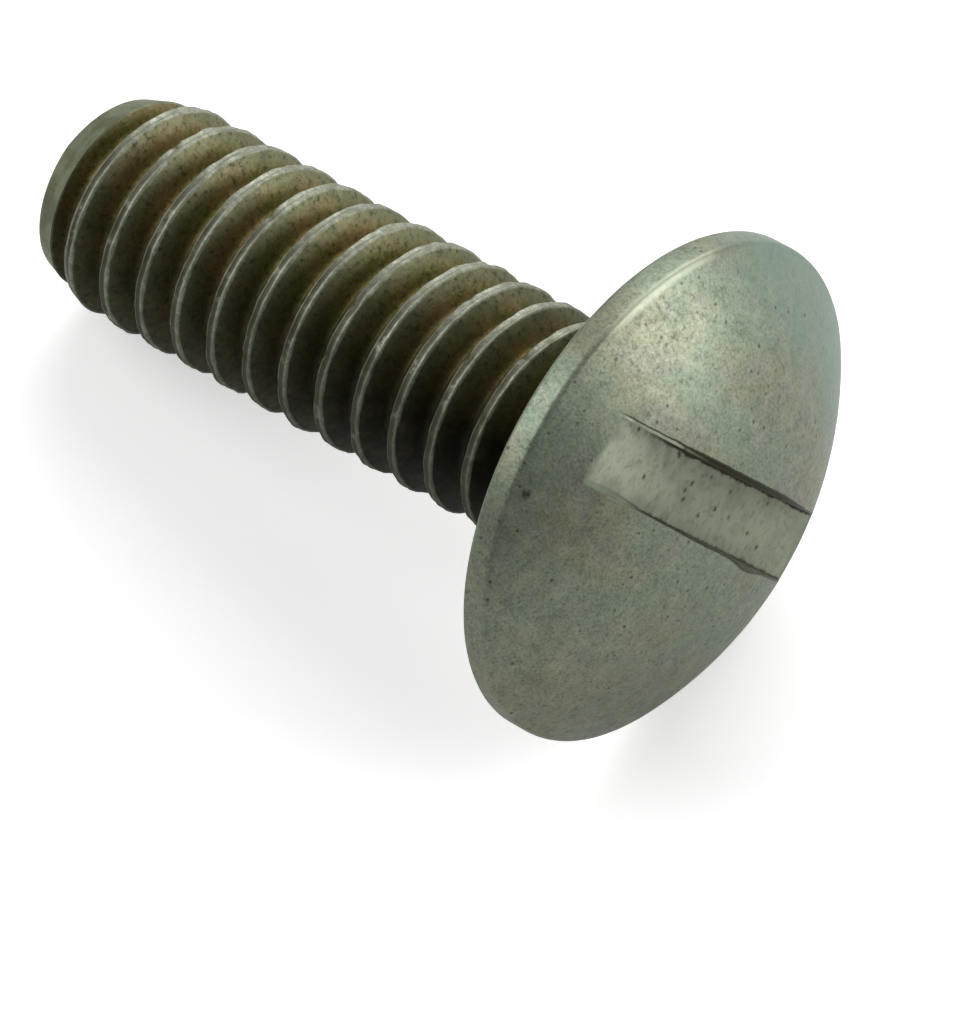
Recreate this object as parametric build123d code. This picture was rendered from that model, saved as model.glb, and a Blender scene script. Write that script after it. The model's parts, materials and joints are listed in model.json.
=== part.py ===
from build123d import *
from build123d.topology import SkipClean
import math
import os

# A slotted truss-head machine screw with a left-hand thread, formed in one piece from steel wire.
# Lengths are in millimetres and angles in degrees. The screw is first made upright, with its axis on Z,
# the bearing face of its head at Z = 0, the dome above it and the shank below, and is then laid down.

# Left-hand coarse thread, a quarter of an inch across and twenty turns to the inch
thread_d = 6.24
pitch = 1.27
flank_angle = 30.0
crest_share = 0.22
root_share = 0.12

# Shank, from the bearing face to the end
shank_length = 18.9
lead_length = 1.6
lead_depth = 0.55
runout_length = 0.7
neck_proud = 0.05

# Truss head: a flat bearing face, a short upright rim and a low dome
head_d = 14.2
head_height = 3.38
rim_height = 0.75
rim_round = 0.25
bearing_chamfer = 0.12

# Slot for the driver, struck a little beside the axis
slot_width = 1.93
slot_depth = 1.6
slot_offset = 0.3

# Turns about the axis, counted from the side of the screw that lies on the ground
slot_turn = 29.2
crest_turn = 9.2
seam_turn = 22.5

# Sizes that follow from these
thread_r = thread_d / 2
crest_flat = crest_share * pitch
root_flat = root_share * pitch
flank_slope = math.tan(math.radians(flank_angle))
thread_depth = (pitch - crest_flat - root_flat) / 2 / flank_slope
root_r = thread_r - thread_depth
head_r = head_d / 2
dome_height = head_height - rim_height
dome_radius = (head_r**2 + dome_height**2) / (2 * dome_height)
slot_floor = head_height - slot_depth


def shank_blank():
    """Cylinder over the crests in twelve narrow walls, with a taper at its end where the thread starts."""
    arcs = [CenterArc((0, 0), thread_r, seam_turn + 30 * i, 30) for i in range(12)]
    cylinder = extrude(make_face(arcs), -shank_length, dir=(0, 0, 1), clean=False)
    end_r = thread_r - lead_depth
    beyond = lead_depth / 2
    outline = Polyline(
        (0, 0),
        (0, -shank_length),
        (end_r, -shank_length),
        (thread_r + beyond, -shank_length + lead_length * (1 + beyond / lead_depth)),
        (thread_r + beyond, 0),
        close=True,
    )
    envelope = revolve(Plane.XZ * make_face(outline), Axis.Z)
    with SkipClean():
        return cylinder & envelope


def groove_turn():
    """One left-hand turn of the groove between the crests, with straight flanks and a flat root."""
    beyond = crest_flat / 4 / flank_slope
    half_root = root_flat / 2
    half_mouth = half_root + (thread_depth + beyond) * flank_slope
    section = Polyline(
        (root_r, -half_root),
        (thread_r + beyond, -half_mouth),
        (thread_r + beyond, half_mouth),
        (root_r, half_root),
        close=True,
    )
    path = Helix(pitch, pitch, thread_r, lefthand=True)
    return sweep(Plane.XZ * make_face(section), path, is_frenet=True, clean=False)


def threaded_shank():
    """Blank with the groove cut turn by turn, from below its end to above the bearing face."""
    turn = groove_turn()
    turns = math.ceil(shank_length / pitch) + 3
    first = pitch * (crest_turn / 360 + 0.5 - turns + 1)
    blank = shank_blank()
    with SkipClean():
        shank = blank - [Pos(0, 0, first + pitch * i) * turn for i in range(turns)]
        return shank + runout()


def runout():
    """Cone that fills the groove towards the head, with its small end buried in the core."""
    neck_r = thread_r + neck_proud
    buried = 1.3
    small_r = neck_r - buried * (neck_r - root_r)
    length = buried * runout_length
    return Pos(0, 0, -length / 2) * Cone(small_r, neck_r, length)


def head():
    """Dome of one radius on an upright rim, turned about the axis."""
    outline = Polyline((0, head_height), (0, 0), (head_r, 0), (head_r, rim_height)) + RadiusArc(
        (head_r, rim_height), (0, head_height), -dome_radius
    )
    profile = make_face(outline)
    profile = chamfer(profile.vertices().sort_by_distance((head_r, 0))[0], bearing_chamfer)
    profile = fillet(profile.vertices().sort_by_distance((head_r, rim_height))[0], rim_round)
    return revolve(Plane.XZ * profile, Axis.Z)


def slot():
    """Straight channel across the dome, with a flat floor that runs out short of the rim."""
    channel = Box(2 * head_d, slot_width, 2 * slot_depth, align=(Align.CENTER, Align.CENTER, Align.MIN))
    return Rot(0, 0, slot_turn) * Pos(0, slot_offset, slot_floor) * channel


def resting_lean():
    """Slope of the axis when the head's edge and the thread, where its lead begins, both touch the ground."""
    along = shank_length - lead_length + bearing_chamfer
    return math.degrees(math.atan2(head_r - thread_r, along))


def laid_down(upright):
    """Screw on its side, the head towards +X, resting on Z = 0 with its length centred on the origin."""
    lean = resting_lean()
    slope = math.radians(lean)
    rim_drop = head_r * math.cos(slope) - bearing_chamfer * math.sin(slope)
    screw = Pos(0, 0, rim_drop) * Rot(0, 90 - lean, 0) * upright
    middle = screw.bounding_box().center().X
    return Pos(-middle, 0, 0) * screw


shank = threaded_shank()
with SkipClean():
    screw = shank + head() - slot()
screw = laid_down(screw)

os.makedirs("parts", exist_ok=True)
export_step(screw, "parts/screw.step")
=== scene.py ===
import json
import math

import bpy
from mathutils import Matrix, Vector


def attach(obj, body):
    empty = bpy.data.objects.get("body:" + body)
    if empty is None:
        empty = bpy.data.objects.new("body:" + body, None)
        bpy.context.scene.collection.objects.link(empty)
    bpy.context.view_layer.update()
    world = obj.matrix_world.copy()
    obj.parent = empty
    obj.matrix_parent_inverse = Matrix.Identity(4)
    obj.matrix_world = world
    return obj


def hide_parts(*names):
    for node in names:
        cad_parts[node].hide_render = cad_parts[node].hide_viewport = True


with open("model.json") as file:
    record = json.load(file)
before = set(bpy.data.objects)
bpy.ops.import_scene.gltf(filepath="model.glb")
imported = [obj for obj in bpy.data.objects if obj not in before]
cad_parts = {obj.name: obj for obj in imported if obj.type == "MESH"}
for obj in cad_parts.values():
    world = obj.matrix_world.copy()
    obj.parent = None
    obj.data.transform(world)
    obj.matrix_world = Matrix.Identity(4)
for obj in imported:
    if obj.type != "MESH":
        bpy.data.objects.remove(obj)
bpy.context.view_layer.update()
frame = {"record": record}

# Sizes of the screw in millimetres. Its turns about the axis count from the side that lies on the ground.
THREAD_R = 3.12
PITCH = 1.27
FLANK_SLOPE = math.tan(math.radians(30))
CREST_HALF = 0.11 * PITCH
ROOT_HALF = 0.06 * PITCH
ROOT_R = THREAD_R - (PITCH / 2 - CREST_HALF - ROOT_HALF) / FLANK_SLOPE
CREST_TURN = 9.2 / 360
SHANK_LENGTH = 18.9
LEAD_LENGTH = 1.6
LEAD_DEPTH = 0.55
RUNOUT_LENGTH = 0.7
NECK_R = THREAD_R + 0.05
HEAD_R = 7.1
HEAD_HEIGHT = 3.38
RIM_HEIGHT = 0.75
RIM_ROUND = 0.25
BEARING_ROUND = 0.14
DOME_R = (HEAD_R**2 + (HEAD_HEIGHT - RIM_HEIGHT) ** 2) / (2 * (HEAD_HEIGHT - RIM_HEIGHT))
SLOT_WIDTH = 1.93
SLOT_HALF = SLOT_WIDTH / 2
SLOT_FLOOR = HEAD_HEIGHT - 1.6
SLOT_OFFSET = 0.3
SLOT_TURN = math.radians(29.2)
SLOT_ROUND = 0.035

# Steps round a mesh, the distance under which points merge, and the turn under which faces look smooth
THREAD_STEPS = 180
HEAD_STEPS = 256
MERGE = 1e-4
SMOOTH_UNDER = math.radians(38)

# Larger knocks on the thread: crests from the head, turn in degrees, and reach and depth in millimetres
KNOCKS = (
    (9.1, 181, 0.3, 0.12), (6.1, 228, 0.25, 0.1), (6.1, 200, 0.28, 0.12), (3.1, 196, 0.28, 0.12),
    (2.12, 181, 0.3, 0.13), (8.75, 141, 0.28, 0.16), (10.7, 137, 0.25, 0.12), (7.2, 158, 0.2, 0.08),
    (4.15, 168, 0.2, 0.1), (3.2, 164, 0.22, 0.1), (5.1, 129, 0.3, 0.12), (12.1, 172, 0.25, 0.1),
    (8.1, 252, 0.25, 0.1), (1.1, 214, 0.25, 0.1), (5.9, 20, 0.3, 0.1), (10.1, 300, 0.3, 0.12),
    (3.9, 74, 0.3, 0.1),
)

# Dark pits on the slot's floor, as places along and across the slot
FLOOR_PITS = (
    (-4.5, 0.89), (-3.15, -0.12), (-0.8, 0.27), (-0.97, 0.04), (-0.82, -0.21),
    (1.16, 0.52), (0.87, -0.04), (1.71, -0.09), (3.19, 0.69), (2.96, -0.23),
    (3.74, -0.46), (0.23, -0.41), (-0.06, 0.64), (-2.15, 0.82), (-2.05, 0.74),
)

# Dark marks on the dome, as a place on the upright screw and a reach
DOME_MARKS = (((-5.0, -4.63, 0.99), 0.22), ((-3.72, -0.62, 2.71), 0.15), ((-4.0, 5.0, 1.5), 0.16))

# Turns about the axis where the thread's grime and painted shade are deepest, the dome's painted shade is
# deepest, the dome is greenest, and its corner has a painted highlight
GRIME_AND_SHADE_TURN = math.radians(290)
DOME_SHADE_TURN = math.radians(290)
COOL_TURN = math.radians(92)
HIGHLIGHT_TURN = math.radians(167)

# Colours of the thread
OLIVE = (0.12, 0.114, 0.026)
BROWN = (0.19, 0.132, 0.048)
SANDY = (0.17, 0.178, 0.108)
SOOT_AND_SHADE = (0.011, 0.01, 0.002)

# Colours of the head
GREEN_GREY = (0.208, 0.256, 0.193)
WARM_GREY = (0.244, 0.25, 0.172)
VIOLET_GREY = (0.212, 0.222, 0.192)
COOL_GREY = (0.225, 0.31, 0.26)
PALE = (0.34, 0.368, 0.275)
HIGHLIGHT_PALE = (0.44, 0.47, 0.36)
DARK = (0.095, 0.106, 0.066)
DIRT_AND_SHADE = (0.03, 0.029, 0.014)
CRUST_AND_SHADE = (0.018, 0.017, 0.008)

MM = 0.001


def mount(name):
    """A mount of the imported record: its place, and the way its mate leaves."""
    found = next(m for m in frame["record"]["mounts"] if m["name"] == name)
    return Vector(found["pos_m"]), Vector(found["axis"]).normalized()


def screw_frame():
    """Middle of the bearing face, and the ways down, to the side and along the axis to the head."""
    centre, to_tip = mount("thread")
    along = -to_tip
    side = Vector((0, 1, 0))
    return centre, side.cross(along), side, along


def lay_down(screw):
    """Moves the upright screw, in millimetres, to where it lies."""
    centre, down, side, along = screw_frame()
    turn = Matrix((down, side, along)).transposed().to_4x4()
    screw.matrix_world = Matrix.Translation(centre) @ turn @ Matrix.Scale(MM, 4)
    only(screw)
    bpy.ops.object.transform_apply(location=True, rotation=True, scale=True)


# Mesh tools

def begin():
    """Back to object mode with nothing selected."""
    if bpy.context.mode != "OBJECT":
        bpy.ops.object.mode_set(mode="OBJECT")
    bpy.ops.object.select_all(action="DESELECT")


def only(obj):
    """Makes one object the selected and active one."""
    begin()
    obj.select_set(True)
    bpy.context.view_layer.objects.active = obj


def edit(obj):
    """Edit mode on one object with nothing in it selected, choosing by vertices."""
    only(obj)
    bpy.ops.object.mode_set(mode="EDIT")
    bpy.ops.mesh.select_mode(type="VERT")
    bpy.ops.mesh.select_all(action="DESELECT")


def pick(obj, kind, test):
    """Selects the edges or faces for which test is true, and goes back to edit mode."""
    bpy.ops.mesh.select_mode(type=kind)
    bpy.ops.mesh.select_all(action="DESELECT")
    bpy.ops.object.mode_set(mode="OBJECT")
    items = {"EDGE": obj.data.edges, "FACE": obj.data.polygons}[kind]
    for item in items:
        item.select = bool(test(item))
    bpy.ops.object.mode_set(mode="EDIT")


def modify(obj, kind, **settings):
    """Adds a modifier with the given settings and applies it."""
    only(obj)
    modifier = obj.modifiers.new(kind.title(), kind)
    for key, value in settings.items():
        setattr(modifier, key, value)
    bpy.ops.object.modifier_apply(modifier=modifier.name)


def outline(name, points):
    """Open chain of edges in the XZ plane through (radius, height) points, drawn by extruding one vertex."""
    begin()
    bpy.ops.mesh.primitive_plane_add(size=0.01)
    obj = bpy.context.active_object
    obj.name = name
    bpy.ops.object.mode_set(mode="EDIT")
    bpy.ops.mesh.select_all(action="SELECT")
    bpy.ops.mesh.merge(type="CENTER")
    bpy.ops.transform.translate(value=(points[0][0], 0, points[0][1]))
    for (r0, z0), (r1, z1) in zip(points, points[1:]):
        bpy.ops.mesh.extrude_vertices_move(TRANSFORM_OT_translate={"value": (r1 - r0, 0, z1 - z0)})
    bpy.ops.object.mode_set(mode="OBJECT")
    return obj


def join_doubles():
    """Merges the double points of the mesh in edit mode, and turns its faces outwards."""
    bpy.ops.mesh.select_all(action="SELECT")
    bpy.ops.mesh.remove_doubles(threshold=MERGE)
    bpy.ops.mesh.normals_make_consistent(inside=False)


def turned(name, points):
    """Closed solid turned about Z from an outline whose two ends are on the axis."""
    obj = outline(name, points)
    modify(obj, "SCREW", axis="Z", angle=math.tau, steps=HEAD_STEPS, render_steps=HEAD_STEPS,
           use_merge_vertices=True, merge_threshold=MERGE, use_smooth_shade=True)
    edit(obj)
    join_doubles()
    bpy.ops.object.mode_set(mode="OBJECT")
    return obj


def arc(centre, radius, start, end, count):
    """Points on an arc in (radius, height), with angles in degrees from the radial direction."""
    turns = [math.radians(start + (end - start) * i / count) for i in range(count + 1)]
    return [(centre[0] + radius * math.cos(t), centre[1] + radius * math.sin(t)) for t in turns]


# Shank

def flank(r):
    """Distance along the screw from the middle of the crest to the flank at a radius."""
    return CREST_HALF + (THREAD_R - r) * FLANK_SLOPE


def thread_profile():
    """Half a pitch from the middle of the crest to the middle of the root, as (distance, radius).
    Rolling has left a lip on each edge of the crest, with a shallow seam between the two."""
    crest = [(0, -0.018), (0.045, -0.014), (0.075, -0.004), (0.1, 0), (0.125, -0.01), (0.15, -0.042)]
    half = [(s, THREAD_R + r) for s, r in crest]
    half += [(flank(r), r) for r in (3.03, 2.9, 2.75, 2.6, 2.48)]
    half += [(PITCH / 2 - ROOT_HALF * 0.75, ROOT_R + 0.012), (PITCH / 2, ROOT_R)]
    return half


def threaded_shank():
    """Left-hand thread wound from one pitch of its profile, cut off square at the end and inside the head."""
    half = thread_profile()
    pitch = [(r, -s) for s, r in reversed(half)] + [(r, s) for s, r in half[1:]]
    first = PITCH * (1 + CREST_TURN)
    turns = math.ceil((SHANK_LENGTH + first) / PITCH) + 1
    shank = outline("shank", [(r, first + s) for r, s in pitch])
    modify(shank, "SCREW", axis="Z", angle=math.tau, screw_offset=-PITCH, iterations=turns,
           steps=THREAD_STEPS, render_steps=THREAD_STEPS, use_smooth_shade=True)
    edit(shank)
    join_doubles()
    bpy.ops.mesh.bisect(plane_co=(0, 0, RIM_HEIGHT / 2), plane_no=(0, 0, 1), use_fill=True, clear_outer=True)
    bpy.ops.mesh.select_all(action="SELECT")
    bpy.ops.mesh.bisect(plane_co=(0, 0, -SHANK_LENGTH), plane_no=(0, 0, 1), use_fill=True, clear_inner=True)
    bpy.ops.mesh.select_all(action="SELECT")
    bpy.ops.mesh.normals_make_consistent(inside=False)
    bpy.ops.object.mode_set(mode="OBJECT")
    wear_thread(shank)
    return shank


def clouds(name, size, contrast=1.0, lift=1.0):
    """Soft cloudy pattern that a surface can be pushed in by."""
    pattern = bpy.data.textures.new(name, "CLOUDS")
    pattern.noise_scale, pattern.noise_depth = size, 2
    pattern.contrast, pattern.intensity = contrast, lift
    return pattern


def press(obj, pattern, depth, group=""):
    """Sinks a surface, or one vertex group of it, by up to a depth, and never raises it."""
    modify(obj, "DISPLACE", texture=pattern, texture_coords="LOCAL", vertex_group=group,
           direction="NORMAL", mid_level=1.0, strength=depth)


def wear_thread(shank):
    """Uneven crests with small chips along their lips, rough flanks, and the real screw's larger knocks."""
    begin()
    crest_low, crest_band = 2.95, 0.13
    crest = shank.vertex_groups.new(name="crest")
    for v in shank.data.vertices:
        r = math.hypot(v.co.x, v.co.y)
        crest.add([v.index], min(max((r - crest_low) / crest_band, 0), 1), "REPLACE")
    press(shank, clouds("uneven_crest", 1.8), 0.02, "crest")
    press(shank, clouds("chipped_crest", 0.55, 4, 2), 0.022, "crest")
    press(shank, clouds("rough_flank", 0.35), 0.012)
    for crest_count, turn, reach, depth in KNOCKS:
        knock(shank, crest_count, turn, reach, depth)


def knock(shank, crest_count, turn, reach, depth):
    """Dents the thread around one place, given as crests counted from the head and a turn about the axis."""
    height = -PITCH * (crest_count + turn / 360 - CREST_TURN)
    away = Vector((math.cos(math.radians(turn)), math.sin(math.radians(turn)), 0))
    place = away * THREAD_R + Vector((0, 0, height))
    edit(shank)
    bpy.ops.object.mode_set(mode="OBJECT")
    near = min(shank.data.vertices, key=lambda v: (v.co - place).length_squared)
    near.select = True
    bpy.ops.object.mode_set(mode="EDIT")
    bpy.ops.transform.translate(value=-away * depth, use_proportional_edit=True,
                                proportional_size=reach, proportional_edit_falloff="SHARP")
    bpy.ops.object.mode_set(mode="OBJECT")


def lead_envelope():
    """Space left for the shank, with the taper at its end where the thread starts."""
    beyond = 0.3
    end_r = THREAD_R - LEAD_DEPTH
    slope = LEAD_DEPTH / LEAD_LENGTH
    points = [(0, -SHANK_LENGTH - beyond), (end_r - slope * beyond, -SHANK_LENGTH - beyond)]
    points += [(THREAD_R + beyond, -SHANK_LENGTH + (LEAD_DEPTH + beyond) / slope)]
    points += [(THREAD_R + beyond, 1), (0, 1)]
    return turned("lead_envelope", points)


def runout():
    """Cone that fills the groove towards the head, with its small end buried in the core."""
    small_r = ROOT_R - 0.1
    slope = RUNOUT_LENGTH / (NECK_R - ROOT_R)
    points = [(0, 0.1), (NECK_R, 0.1), (NECK_R, 0), (small_r, -slope * (NECK_R - small_r))]
    points += [(0, points[-1][1])]
    return turned("runout", points)


# Head

def head_outline():
    """Half section of the head: bearing face, broken edge, upright rim, rounded corner and dome."""
    dome_z = HEAD_HEIGHT - DOME_R
    bearing_r = HEAD_R - BEARING_ROUND
    corner_r = HEAD_R - RIM_ROUND
    # the corner's arc touches the rim's side and the dome from within
    corner_z = dome_z + math.sqrt((DOME_R - RIM_ROUND) ** 2 - corner_r**2)
    meet = math.degrees(math.atan2(corner_z - dome_z, corner_r))
    points = [(0, 0), (2, 0), (4, 0), (bearing_r, 0)]
    points += arc((bearing_r, BEARING_ROUND), BEARING_ROUND, -90, 0, 4)[1:]
    points += arc((corner_r, corner_z), RIM_ROUND, 0, meet, 9)
    points += arc((0, dome_z), DOME_R, meet, 90, 40)[1:]
    points[-1] = (0, HEAD_HEIGHT)
    return points


def across_slot(co):
    """Distance of a point from the middle plane of the slot."""
    return -math.sin(SLOT_TURN) * co.x + math.cos(SLOT_TURN) * co.y - SLOT_OFFSET


def slotted_head():
    """Head with its slot cut by two lines across the dome, sunk to a flat floor, and its edges softened."""
    head = turned("head", head_outline())
    press(head, clouds("uneven_dome", 0.9), 0.01)
    across = Vector((-math.sin(SLOT_TURN), math.cos(SLOT_TURN), 0))
    dome_only = SLOT_FLOOR - 1
    edit(head)
    for side in (-SLOT_HALF, SLOT_HALF):
        pick(head, "FACE", lambda f: f.center.z > dome_only)
        bpy.ops.mesh.bisect(plane_co=across * (SLOT_OFFSET + side), plane_no=across)
    pick(head, "FACE", lambda f: f.center.z > dome_only and abs(across_slot(f.center)) < SLOT_HALF)
    bpy.ops.mesh.bisect(plane_co=(0, 0, SLOT_FLOOR), plane_no=(0, 0, 1))
    pick(head, "FACE", lambda f: f.center.z > SLOT_FLOOR and abs(across_slot(f.center)) < SLOT_HALF)
    bpy.ops.mesh.extrude_region_move(TRANSFORM_OT_translate={"value": (0, 0, -0.5)})
    bpy.ops.transform.resize(value=(1, 1, 0), center_override=(0, 0, SLOT_FLOOR))
    bpy.ops.mesh.select_all(action="SELECT")
    bpy.ops.mesh.remove_doubles(threshold=20 * MERGE)
    soften_slot(head)
    bpy.ops.object.mode_set(mode="OBJECT")
    return head


def soften_slot(head):
    """Rounds the two long edges where the slot's walls meet the dome."""
    mesh = head.data

    def on_edge(e):
        ends = [mesh.vertices[i].co for i in e.vertices]
        level = all(abs(abs(across_slot(c)) - SLOT_HALF) < 0.004 and c.z > SLOT_FLOOR + 0.02 for c in ends)
        return level and abs(ends[0].z - ends[1].z) < 0.5 * (ends[0] - ends[1]).length + 0.01

    pick(head, "EDGE", on_edge)
    bpy.ops.mesh.bevel(offset=SLOT_ROUND, segments=3, affect="EDGES", clamp_overlap=True)


# The whole screw

def worn_screw():
    """One closed piece in place of the plain solid: shank, run-out and slotted head."""
    screw = threaded_shank()
    screw.name = "worn_screw"
    for tool, operation in ((lead_envelope(), "INTERSECT"), (runout(), "UNION"), (slotted_head(), "UNION")):
        modify(screw, "BOOLEAN", object=tool, operation=operation, solver="EXACT")
        bpy.data.objects.remove(tool)
    lay_down(screw)
    bpy.ops.object.shade_smooth_by_angle(angle=SMOOTH_UNDER)
    return screw


# Materials

class Socket:
    """One output of a material's nodes, with arithmetic that adds its Math nodes."""

    def __init__(self, tree, output):
        self.tree, self.output = tree, output

    def math(self, operation, *values):
        """A Math operation on this output and the values given."""
        return self.tree.node("Math", {"operation": operation}, dict(enumerate((self, *values))))

    def __add__(self, other):
        return self.math("ADD", other)

    def __sub__(self, other):
        return self.math("SUBTRACT", other)

    def __rsub__(self, other):
        return self.tree.node("Math", {"operation": "SUBTRACT"}, {0: other, 1: self})

    def __mul__(self, other):
        return self.math("MULTIPLY", other)

    def __truediv__(self, other):
        return self.math("DIVIDE", other)

    __radd__ = __add__
    __rmul__ = __mul__

    def ramp(self, start, end, low=0.0, high=1.0):
        """Rises smoothly from low to high between two values."""
        values = {"Value": self, "From Min": start, "From Max": end, "To Min": low, "To Max": high}
        return self.tree.node("MapRange", {"interpolation_type": "SMOOTHSTEP"}, values)


class Finish:
    """A material and the one way its nodes are added."""

    def __init__(self, name):
        self.material = bpy.data.materials.new(name)
        self.material.use_nodes = True
        self.nodes, self.links = self.material.node_tree.nodes, self.material.node_tree.links
        self.nodes.clear()

    def node(self, kind, settings=(), inputs=(), output=0):
        """Adds a node, with its settings first and then the values or links of its inputs."""
        made = self.nodes.new("ShaderNode" + kind)
        for key, value in dict(settings).items():
            setattr(made, key, value)
        for key, value in dict(inputs).items():
            if isinstance(value, Socket):
                self.links.new(value.output, made.inputs[key])
            else:
                made.inputs[key].default_value = value
        return Socket(self, made.outputs[output]) if made.outputs else made

    def dot(self, vector, direction):
        return self.node("VectorMath", {"operation": "DOT_PRODUCT"}, {0: vector, 1: direction}, "Value")

    def distance(self, first, second):
        return self.node("VectorMath", {"operation": "DISTANCE"}, {0: first, 1: second}, "Value")

    def mix(self, share, first, second):
        """Two colours, mixed by a share of the second."""
        colours = {6: first, 7: second}
        colours = {k: v if isinstance(v, Socket) else (*v, 1) for k, v in colours.items()}
        return self.node("Mix", {"data_type": "RGBA"}, {0: share, **colours}, 2)

    def noise(self, place, scale, detail=3.0, roughness=0.55):
        """Soft patches, scale to the millimetre, centred on one half."""
        values = {"Vector": place, "Scale": scale, "Detail": detail, "Roughness": roughness}
        return self.node("TexNoise", {}, values)


def towards(x, y, turn):
    """How far a place lies from the axis in the direction of one turn about it."""
    return x * math.cos(turn) + y * math.sin(turn)


def tarnished_steel():
    """Dull stainless steel: rubbed crests, stain, soiling and painted shade in the thread, mottled dome with
    fine dark pits, painted shade and a painted highlight.
    """
    steel = Finish("tarnished_steel")
    centre, down, side, along = screw_frame()
    place = steel.node("TexCoord", output="Object")
    place = steel.node("VectorMath", {"operation": "SUBTRACT"}, {0: place, 1: centre})
    place = steel.node("VectorMath", {"operation": "SCALE"}, {0: place, "Scale": 1 / MM})
    height = steel.dot(place, along)
    x, y = steel.dot(place, down), steel.dot(place, side)
    radius = (x * x + y * y).math("SQRT")
    upright = steel.node("CombineXYZ", {}, {"X": x, "Y": y, "Z": height})

    grains = {
        "cloud": steel.noise(upright, 0.42, 4),
        "mottle": steel.noise(upright, 1.7, 5, 0.62),
        "fleck": steel.noise(upright, 5.5, 4, 0.62),
        "grain": steel.noise(upright, 13.0, 3, 0.65),
        "tint": steel.noise(upright, 0.9, 3),
    }
    shank_colour, shank_metal = thread_paint(steel, upright, x, y, radius, height, grains)
    head_colour = head_paint(steel, upright, x, y, height, grains)
    on_shank = height.ramp(-0.1, 0.0, 1, 0)
    relief = (grains["grain"] * 0.5 + grains["fleck"] * 0.7) * (on_shank * 1.2 + 0.8)
    bump = steel.node("Bump", {}, {"Strength": 0.4, "Distance": 0.02 * MM, "Height": relief})
    shader = steel.node("BsdfPrincipled", {}, {
        "Base Color": steel.mix(on_shank, head_colour, shank_colour),
        "Metallic": 0.8 - on_shank * (1 - shank_metal) * 0.5,
        "Roughness": 0.45 + on_shank * 0.08 + (grains["fleck"] - 0.5) * 0.3,
        "Specular IOR Level": 0.25,
        "Normal": bump,
    })
    steel.node("OutputMaterial", {}, {"Surface": shader})
    return steel.material


def thread_paint(steel, upright, x, y, radius, height, grains):
    """Colour of the thread, and how much of it is bare metal. Its lips are bright and its root is stained.
    Grime and painted shade lie deepest on the side towards the ground and close under the head."""
    mottle, fleck = grains["mottle"], grains["fleck"]
    # painted shade mixed with grime: the thread darkens on the side towards the ground and close under the
    # head
    shaded = towards(x, y, GRIME_AND_SHADE_TURN) / radius
    grime_and_shade = shaded.ramp(-0.55, 0.8) * 0.9 + height.ramp(-17, -2) * 0.5 + (mottle - 0.5) * 0.7 - 0.32
    grime_and_shade = grime_and_shade.math("MINIMUM", 1.0).math("MAXIMUM", 0.0)
    valley = valley_paint(steel, upright, radius, grime_and_shade, grains)
    # whole turns are added so that the phase is positive, and half a turn so that the crest is at one half
    phase = height / PITCH + y.math("ARCTAN2", x) / math.tau - CREST_TURN + 100.5
    from_crest = (phase.math("FRACT") - 0.5) * PITCH
    crest = crest_paint(steel, from_crest, shaded, grime_and_shade, grains)

    on_lead = (LEAD_LENGTH - SHANK_LENGTH - height).math("MAXIMUM", 0.0)
    below_blank = THREAD_R - on_lead * (LEAD_DEPTH / LEAD_LENGTH) - radius
    lip = below_blank.ramp(0.03, 0.075, 1, 0)
    colour = steel.mix(lip, valley, crest)
    tip = on_lead.ramp(0.3, 0.8) * (below_blank + (fleck - 0.5) * 0.1).ramp(0.02, 0.07, 1, 0)
    end_face = height.ramp(0.06 - SHANK_LENGTH, 0.01 - SHANK_LENGTH)
    worn_tip = steel.mix(mottle.ramp(0.42, 0.6) * 0.6, (0.17, 0.196, 0.12), (0.09, 0.096, 0.046))
    colour = steel.mix(tip.math("MAXIMUM", end_face) * 0.85, colour, worn_tip)
    return colour, lip.math("MAXIMUM", 1 - grime_and_shade)


def valley_paint(steel, upright, radius, grime_and_shade, grains):
    """Stained root and sandy flanks of the groove, speckled dark and pale, under soiling and painted shade.
    """
    mottle, fleck, grain = grains["mottle"], grains["fleck"], grains["grain"]
    stain = steel.noise(upright, 0.8, 4, 0.62)
    root = steel.mix(stain.ramp(0.43, 0.6), OLIVE, BROWN)
    flank_share = radius.ramp(2.5, 3.1) * 0.9 + (mottle - 0.5) * 0.7 + (fleck - 0.5) * 0.6
    valley = steel.mix(flank_share, root, SANDY)
    valley = steel.mix(grain.ramp(0.5, 0.68) * 0.35, valley, (0.05, 0.048, 0.02))
    valley = steel.mix(grain.ramp(0.48, 0.32) * 0.35, valley, (0.24, 0.215, 0.11))
    valley = steel.mix(fleck.ramp(0.5, 0.36) * 0.4, valley, (0.22, 0.205, 0.12))
    valley = steel.mix(fleck.ramp(0.53, 0.68) * 0.65, valley, (0.035, 0.032, 0.012))
    # grime and painted shade darken the groove
    return steel.mix(grime_and_shade, valley, SOOT_AND_SHADE)


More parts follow.
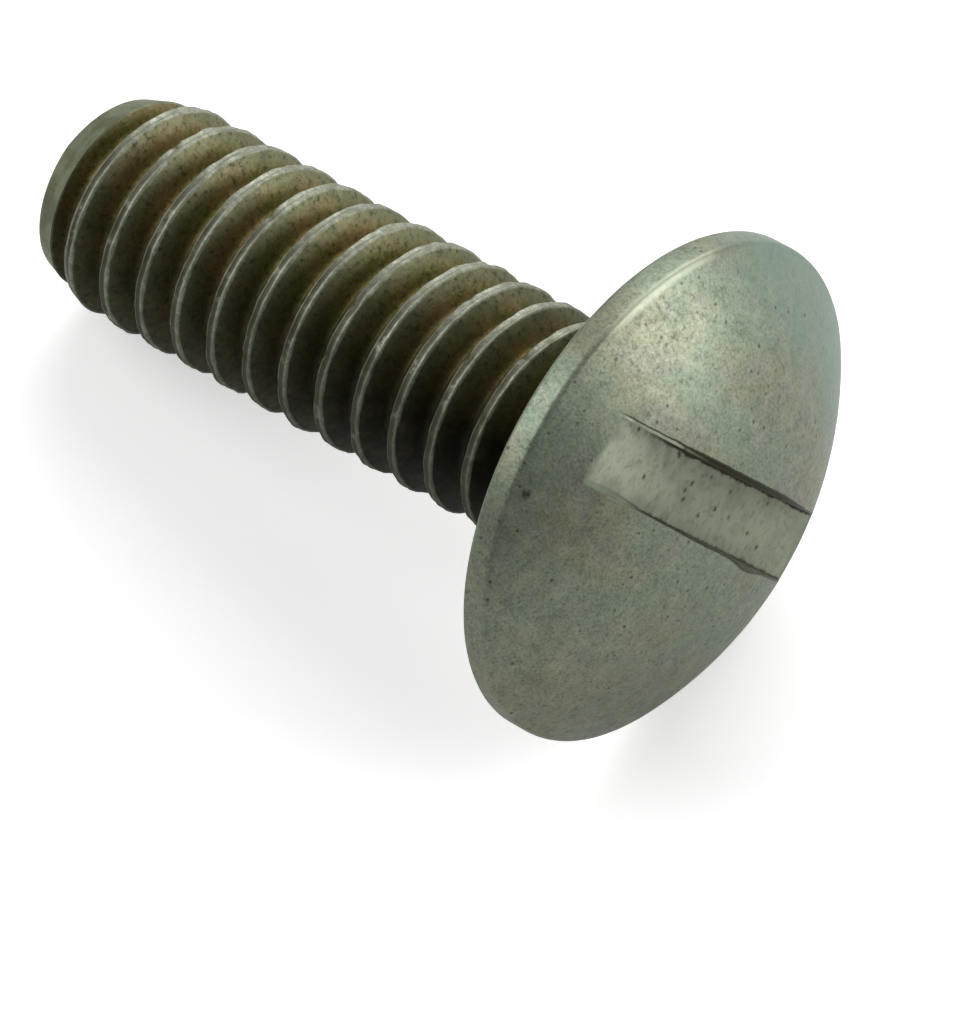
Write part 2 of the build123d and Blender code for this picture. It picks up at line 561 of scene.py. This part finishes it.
def crest_paint(steel, from_crest, shaded, grime_and_shade, grains):
    """Bright crests rubbed bare, with painted shade in the seam between their lips and on their far lip, on
    the side towards the ground.
    """
    mottle, fleck, grain = grains["mottle"], grains["fleck"], grains["grain"]
    bright = steel.mix(mottle.ramp(0.4, 0.6), (0.37, 0.385, 0.31), (0.26, 0.27, 0.205))
    bright = steel.mix(fleck.ramp(0.42, 0.62) * 0.5, bright, (0.2, 0.205, 0.15))
    bright = steel.mix(grain.ramp(0.46, 0.6) * 0.4, bright, (0.14, 0.145, 0.1))
    # painted shade: the seam and the far lip darken only on the side towards the ground
    low_side = shaded.ramp(-0.55, 0.0)
    far_lip = from_crest.ramp(-0.05, -0.08) * low_side
    seam = (from_crest + 0.025).math("ABSOLUTE").ramp(0.045, 0.085, 1, 0) * low_side
    crest = steel.mix(far_lip * 0.4, bright, (0.1, 0.103, 0.07))
    crest = steel.mix(seam * mottle.ramp(0.3, 0.44) * 0.9, crest, (0.06, 0.06, 0.035))
    # grime and painted shade darken the crests as well
    return steel.mix(grime_and_shade.ramp(0.3, 1.1) * 0.7, crest, (0.06, 0.063, 0.042))


def head_paint(steel, upright, x, y, height, grains):
    """Colour of the head: its dome, the paler floor of the slot, and dirt with painted shade along the slot's
    edges.
    """
    fleck = grains["fleck"]
    slot_along = towards(x, y, SLOT_TURN)
    slot_across = towards(x, y, SLOT_TURN + math.tau / 4) - SLOT_OFFSET
    from_middle = slot_across.math("ABSOLUTE")
    on_top = height.ramp(1.2, 1.4)
    sunk = DOME_R - steel.distance(upright, Vector((0, 0, HEAD_HEIGHT - DOME_R)))
    in_slot = (sunk + (fleck - 0.5) * 0.15).ramp(-0.01, 0.12) * sunk.ramp(0.002, 0.01)
    in_slot *= from_middle.ramp(SLOT_HALF, SLOT_HALF + 0.02, 1, 0) * on_top
    ragged = (fleck - 0.5) * 0.14 + (grains["mottle"] - 0.5) * 0.16
    floor = floor_paint(steel, slot_along, slot_across, ragged, grains)
    colour = steel.mix(in_slot, dome_paint(steel, upright, x, y, height, grains), floor)

    # Dirt and painted shade lie a little outside the far lip and along the near lip. The near lip is worn
    # back in one place and smeared in another.
    beside = slot_along.math("ABSOLUTE").ramp(5.3, 5.7, 1, 0) * on_top
    far_line = slot_along.ramp(0.5, 4.5, 0.1, 0.02)
    past_far = slot_across - SLOT_HALF - far_line + ragged * 0.3
    near_line = slot_along.ramp(-0.3, 1.1, 0, 0.12) * slot_along.ramp(1.2, 2.4, 1, 0.2)
    near_line -= slot_along.ramp(-4.4, -1.8, 0.15, 0)
    past_near = -SLOT_HALF - slot_across - near_line + ragged * 0.3
    worn_lip = past_far.ramp(-0.015, 0.015, 1, 0) * past_near.ramp(-0.015, 0.015, 1, 0) * beside
    colour = steel.mix(from_middle.ramp(SLOT_HALF, SLOT_HALF + 0.005) * worn_lip, colour, floor)
    colour = steel.mix(past_near.ramp(-0.015, 0.015) * in_slot * 0.6, colour, GREEN_GREY)
    # dark lines along both lips: dirt with painted shade
    far_width = slot_along.ramp(-4.4, -2.2, 0.022, 0.055) * slot_along.ramp(1, 4, 1, 0.4)
    far_dirt_and_shade = (past_far.math("ABSOLUTE") - far_width).ramp(-0.02, 0.02, 0.9, 0)
    near_dirt_and_shade = past_near.math("ABSOLUTE").ramp(0.01, 0.05, 0.8, 0) * slot_along.ramp(-4.5, -1.8, 0.2, 1)
    colour = steel.mix(far_dirt_and_shade * beside, colour, CRUST_AND_SHADE)
    colour = steel.mix(near_dirt_and_shade * beside, colour, DIRT_AND_SHADE)
    for mark, size in DOME_MARKS:
        gap = steel.distance(upright, Vector(mark)) + (fleck - 0.5) * 0.3
        colour = steel.mix(gap.ramp(0, size, 0.8, 0), colour, DIRT_AND_SHADE)
    return colour


def dome_paint(steel, upright, x, y, height, grains):
    """Mottled grey-green dome and rim, with fine dark pits, painted shade towards one side and a painted
    highlight on the corner.
    """
    mottle, fleck, grain = grains["mottle"], grains["fleck"], grains["grain"]
    specks = steel.node("TexVoronoi", {}, {"Vector": upright, "Scale": 2.3}, "Distance")
    dome = steel.mix(grains["cloud"].ramp(0.42, 0.6), GREEN_GREY, WARM_GREY)
    dome = steel.mix(grains["tint"].ramp(0.5, 0.62) * 0.6, dome, VIOLET_GREY)
    dome = steel.mix(mottle.ramp(0.48, 0.7) * 0.45, dome, PALE)
    dome = steel.mix(mottle.ramp(0.48, 0.3) * 0.4, dome, DARK)
    dome = steel.mix(fleck.ramp(0.53, 0.69) * 0.5, dome, DARK)
    dome = steel.mix(grain.ramp(0.5, 0.66) * 0.36, dome, PALE)
    dome = steel.mix(grain.ramp(0.5, 0.36) * 0.4, dome, DARK)
    # painted shade: the dome darkens on the same side where the thread's shade is deepest
    dome = steel.mix(towards(x, y, DOME_SHADE_TURN).ramp(0, 6) * 0.18, dome, DARK)
    dome = steel.mix(towards(x, y, COOL_TURN).ramp(3, 6) * 0.7, dome, COOL_GREY)
    # painted highlight: a bright stretch on the corner between rim and dome
    corner_highlight = (towards(x, y, HIGHLIGHT_TURN) + (fleck - 0.5) * 0.4).ramp(6.6, 6.9)
    corner_highlight *= height.ramp(0.68, 0.76) * height.ramp(0.85, 0.95, 0.8, 0)
    dome = steel.mix(corner_highlight, dome, HIGHLIGHT_PALE)
    return steel.mix(specks.ramp(0.06, 0.17, 0.8, 0) * mottle.ramp(0.4, 0.52), dome, (0.05, 0.056, 0.035))


def floor_paint(steel, slot_along, slot_across, ragged, grains):
    """Pale floor of the slot, with dark pits, and ragged dirt with painted shade at the foot of its two
    walls.
    """
    mottle, fleck = grains["mottle"], grains["fleck"]
    floor = steel.mix(slot_along.ramp(-5, 0), (0.43, 0.46, 0.35), (0.31, 0.34, 0.25))
    floor = steel.mix(mottle.ramp(0.45, 0.65) * 0.4, floor, (0.2, 0.21, 0.15))
    floor = steel.mix(grains["tint"].ramp(0.45, 0.6) * 0.5, floor, (0.22, 0.27, 0.19))
    floor = steel.mix(fleck.ramp(0.52, 0.7) * 0.4, floor, (0.13, 0.135, 0.09))
    flat = steel.node("CombineXYZ", {}, {"X": slot_along, "Y": slot_across})
    for along, across in FLOOR_PITS:
        gap = steel.distance(flat, Vector((along, across, 0))) + (fleck - 0.5) * 0.25
        floor = steel.mix(gap.ramp(0.02, 0.11, 0.85, 0), floor, (0.05, 0.05, 0.03))
    crusted = slot_along.ramp(-5, -1, 0, 0.06) * slot_along.ramp(1, 3, 1, 0.5)
    # dirt and painted shade in the corners at the foot of the walls
    far_foot = (slot_across + ragged + crusted).ramp(SLOT_HALF - 0.1, SLOT_HALF - 0.03)
    near_foot = (ragged - slot_across).ramp(SLOT_HALF - 0.07, SLOT_HALF)
    floor = steel.mix(far_foot * slot_along.ramp(-4.6, -2.5), floor, DIRT_AND_SHADE)
    return steel.mix(near_foot * slot_along.ramp(-3.2, -2) * 0.8, floor, DIRT_AND_SHADE)


def studio_floor():
    """Pale floor that looks white to the camera and still takes the screw's shadow."""
    floor = Finish("studio_floor")
    seen = floor.node("LightPath", output="Is Camera Ray")
    paint = floor.node("BsdfDiffuse", {}, {"Color": (0.86, 0.86, 0.86, 1)})
    glow = floor.node("Emission", {}, {"Color": (1, 1, 1, 1), "Strength": seen * 0.45})
    shader = floor.node("AddShader", {}, {0: paint, 1: glow})
    floor.node("OutputMaterial", {}, {"Surface": shader})
    return floor.material


# Studio

def add_floor():
    """Ground just under the screw, wide enough to fill every view."""
    begin()
    bpy.ops.mesh.primitive_plane_add(size=4, location=(0, 0, -1e-5))
    floor = bpy.context.active_object
    floor.name = "floor"
    floor.data.materials.append(studio_floor())


def add_world():
    """Even soft light all round, white where the camera sees it."""
    world = bpy.data.worlds.new("studio")
    world.use_nodes = True
    nodes, links = world.node_tree.nodes, world.node_tree.links
    nodes.clear()
    path = nodes.new("ShaderNodeLightPath")
    strength = nodes.new("ShaderNodeMapRange")
    strength.inputs["To Min"].default_value = 0.28
    strength.inputs["To Max"].default_value = 1.0
    links.new(path.outputs["Is Camera Ray"], strength.inputs["Value"])
    background = nodes.new("ShaderNodeBackground")
    links.new(strength.outputs[0], background.inputs["Strength"])
    output = nodes.new("ShaderNodeOutputWorld")
    links.new(background.outputs[0], output.inputs[0])
    bpy.context.scene.world = world


def add_lamp(name, place, size, power):
    """Square soft box aimed at the screw."""
    begin()
    bpy.ops.object.light_add(type="AREA", location=place)
    lamp = bpy.context.active_object
    lamp.name = name
    lamp.data.size = size
    lamp.data.energy = power
    lamp.visible_camera = False
    lamp.rotation_euler = (-Vector(place)).to_track_quat("-Z", "Y").to_euler()


def add_camera():
    """Camera at the photograph's angle: a long lens, from above and beyond the head."""
    data = bpy.data.cameras.new("camera")
    data.lens = 381.6
    data.sensor_fit, data.sensor_width = "HORIZONTAL", 36
    data.clip_start, data.clip_end = 0.01, 10
    camera = bpy.data.objects.new("camera", data)
    bpy.context.scene.collection.objects.link(camera)
    right = Vector((0.771636, 0.636064, 0))
    up = Vector((-0.545613, 0.661906, 0.513991))
    turn = Matrix((right, up, right.cross(up))).transposed().to_4x4()
    camera.matrix_world = Matrix.Translation((0.0916121, -0.1081896, 0.2338380)) @ turn
    bpy.context.scene.camera = camera


bpy.context.scene.view_settings.view_transform = "Standard"
add_camera()
add_world()
add_floor()
add_lamp("key", (-0.12, 0.32, 0.26), 0.36, 1.4)
add_lamp("left", (-0.3, -0.14, 0.28), 0.3, 0.85)
add_lamp("side", (0.39, 0.28, 0.2), 0.3, 1.42)

screw = worn_screw()
screw.data.materials.clear()
screw.data.materials.append(tarnished_steel())
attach(screw, "root")
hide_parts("screw")
